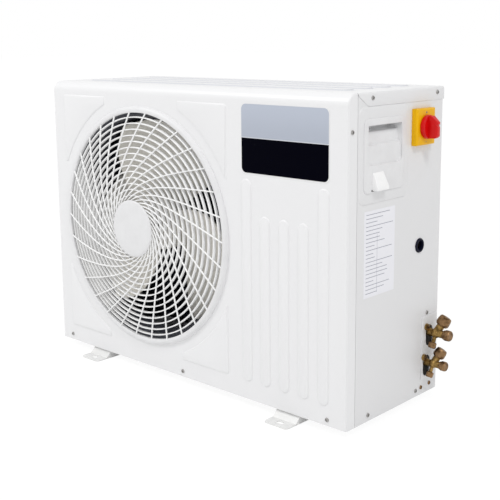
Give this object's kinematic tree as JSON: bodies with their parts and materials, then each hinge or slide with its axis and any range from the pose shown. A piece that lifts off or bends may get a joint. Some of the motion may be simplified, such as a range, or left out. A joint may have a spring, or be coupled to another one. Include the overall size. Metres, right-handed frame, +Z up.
{
  "type": "refrigeration condensing unit",
  "caption": "Outdoor refrigeration condensing unit: white steel cabinet with domed spiral fan guard, coil, compressor, service valves and a rotary isolator.",
  "frame": {"origin": "on the floor, at the centre of the four foot bolts", "axes": "+Z up, -Y is the front with the fan, +X is the service side with valves and isolator"},
  "size_m": [0.9572, 0.402, 0.6705],
  "materials": {
    "casing_white": "textured powder coat",
    "side_white": "textured powder coat",
    "guard_white": "moulded, satin",
    "inlet_white": "moulded, satin",
    "foot_white": "powder coat",
    "fan_grey": "glass-filled, satin",
    "galvanised": "galvanised, spangled",
    "bare_steel": "zinc plated",
    "motor_black": "satin paint",
    "coil_fin": "dark coated fins",
    "copper": "drawn copper tube",
    "compressor_black": "gloss enamel",
    "receiver_black": "gloss enamel",
    "rubber_black": "moulded",
    "guard_wire": "plastic-dipped wire",
    "grip_white": "moulded, fine grain",
    "switch_yellow": "moulded, satin",
    "knob_red": "moulded, gloss",
    "switch_grey": "moulded",
    "grommet_navy": "moulded",
    "name_plate": "laminated, two-tone",
    "label_paper": "printed film, bare",
    "valve_brass": "forged, dull",
    "cap_brass": "turned, aged",
    "drier_green": "enamel"
  },
  "bodies": {
    "cabinet": {"base_pan": "casing_white", "bellmouth": "inlet_white", "coil_end_plates": "galvanised", "coil_fins": "coil_fin", "coil_guard": "guard_wire", "coil_return_bends": "copper", "compressor": "compressor_black", "compressor_bolts": "bare_steel", "compressor_grommets": "rubber_black", "condensate_pipe": "copper", "conduit_grommet": "grommet_navy", "contactor": "switch_grey", "discharge_pipe": "copper", "drier_pipe": "copper", "electrical_box": "galvanised", "fan_guard": "guard_white", "fan_motor": "motor_black", "filter_drier": "drier_green", "front_panel": "casing_white", "guard_hub_disc": "guard_white", "handle_recess": "grip_white", "isolator_body": "switch_grey", "isolator_plate": "switch_yellow", "left_foot_rail": "foot_white", "liquid_line_cap": "cap_brass", "liquid_pipe": "copper", "liquid_port_cap": "cap_brass", "liquid_stem_cap": "cap_brass", "liquid_valve": "valve_brass", "motor_bracket": "galvanised", "name_plate": "name_plate", "panel_screws": "bare_steel", "partition": "galvanised", "rating_plate": "label_paper", "rear_panel": "side_white", "receiver": "receiver_black", "right_foot_rail": "foot_white", "right_side_panel": "side_white", "run_capacitor": "bare_steel", "sight_glass": "valve_brass", "suction_line_cap": "cap_brass", "suction_pipe": "copper", "suction_port_cap": "cap_brass", "suction_stem_cap": "cap_brass", "suction_valve": "valve_brass", "terminal_block": "switch_grey", "top_cover": "casing_white", "valve_plate": "side_white", "valve_screws": "cap_brass"},
    "fan": {"fan_blades": "fan_grey", "fan_shaft": "bare_steel", "fan_nut": "bare_steel"},
    "isolator_handle": {"isolator_knob": "knob_red", "isolator_shaft": "bare_steel"},
    "suction_spindle": {"suction_stem": "valve_brass"},
    "liquid_spindle": {"liquid_stem": "valve_brass"}
  },
  "joints": [
    {"name": "fan_spin", "type": "hinge", "parent": "cabinet", "child": "fan", "pos_m": [-0.131, -0.087, 0.346], "axis": [0, 1, 0], "continuous": true},
    {"name": "isolator_turn", "type": "hinge", "parent": "cabinet", "child": "isolator_handle", "pos_m": [0.47, 0.0773, 0.5907], "axis": [1, 0, 0], "range_deg": [0, 90]},
    {"name": "suction_stem_turn", "type": "hinge", "parent": "cabinet", "child": "suction_spindle", "pos_m": [0.47631, 0.12899, 0.16615], "axis": [0.3711, 0.4113, 0.8325], "range_deg": [0, 1080]},
    {"name": "liquid_stem_turn", "type": "hinge", "parent": "cabinet", "child": "liquid_spindle", "pos_m": [0.47557, 0.11967, 0.09949], "axis": [0.3711, 0.4113, 0.8325], "range_deg": [0, 1080]}
  ]
}
